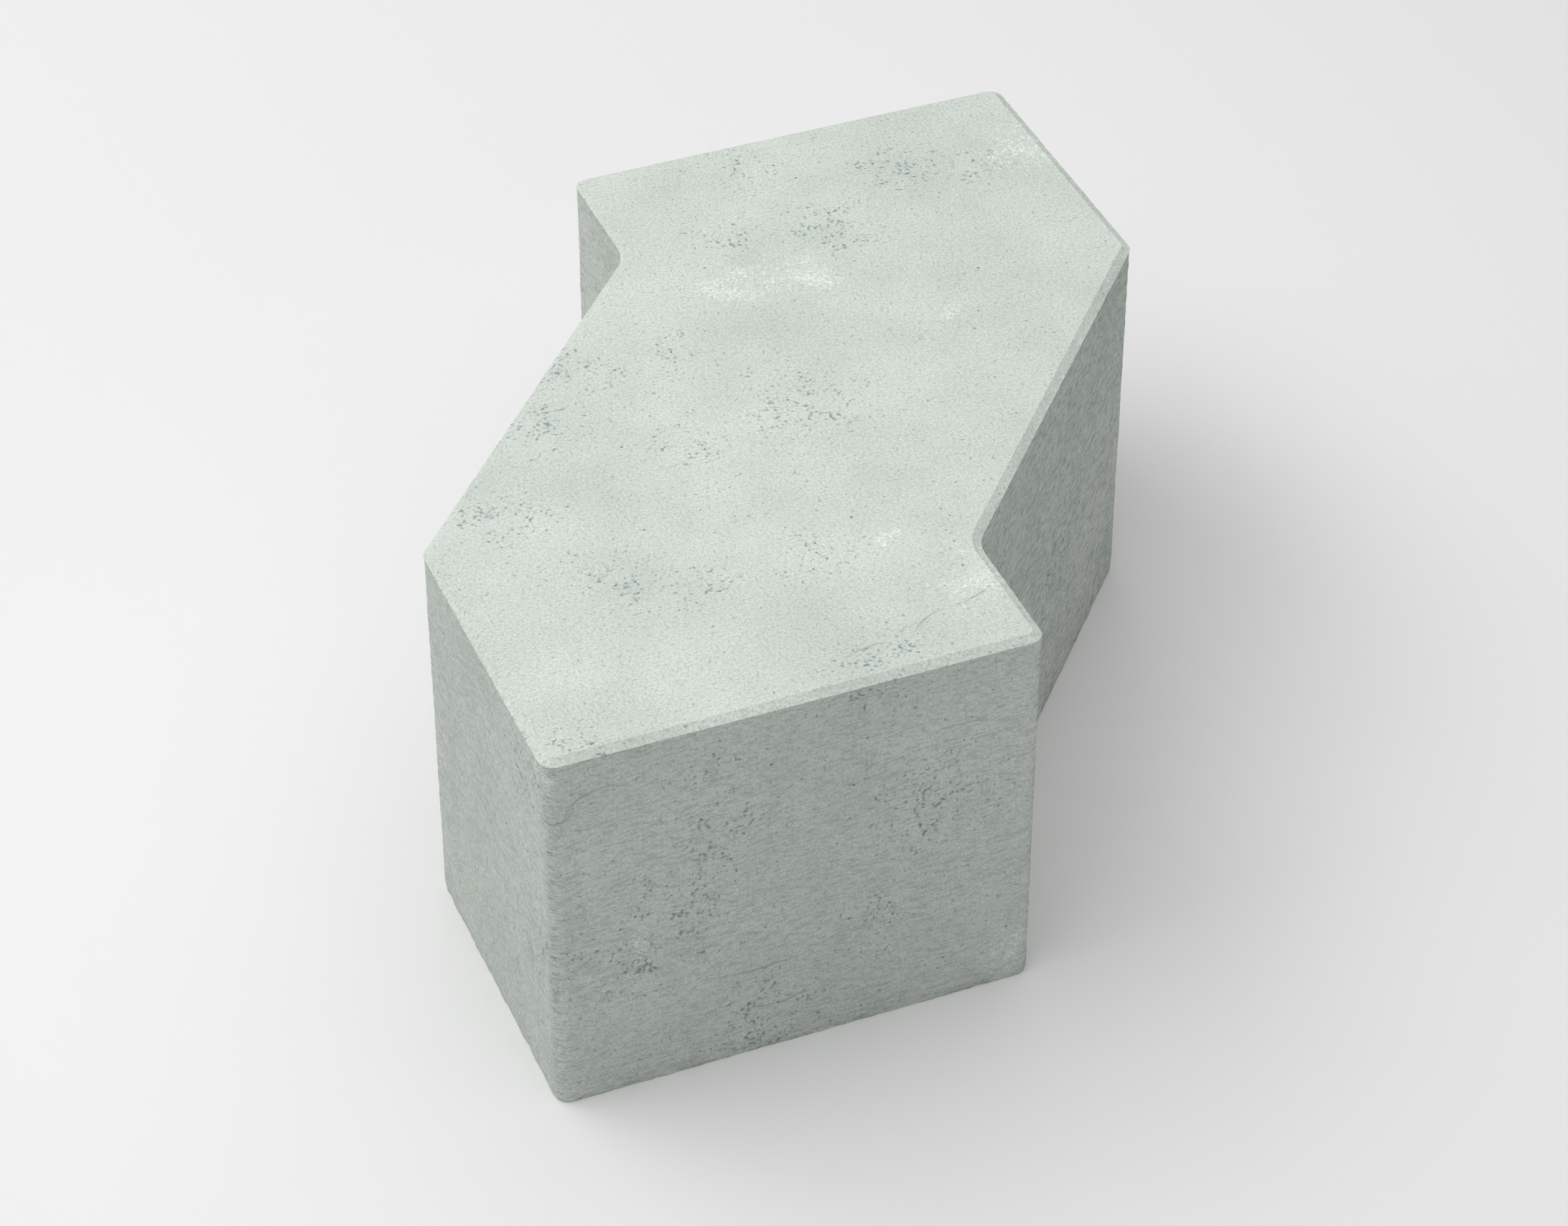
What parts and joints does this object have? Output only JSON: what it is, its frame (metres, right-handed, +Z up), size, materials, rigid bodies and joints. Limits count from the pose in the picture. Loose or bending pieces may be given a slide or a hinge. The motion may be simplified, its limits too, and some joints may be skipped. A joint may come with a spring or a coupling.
{
  "type": "concrete paving block",
  "caption": "Interlocking concrete paving block with a lightning-bolt plan, a chamfered top edge and a fine facing layer on a coarse base.",
  "frame": {"origin": "centre of the bed face, where the half-turn axis of the plan meets the ground", "axes": "+Z up through the wearing face, +Y along the block from one end face to the other, +X across it, out of the side whose long stretch is at the +Y end"},
  "size_m": [0.1994, 0.21, 0.1],
  "materials": {
    "base_concrete": "matte",
    "facing_concrete": "matte"
  },
  "bodies": {
    "root": {"base_course": "base_concrete", "facing_layer": "facing_concrete"}
  },
  "joints": []
}
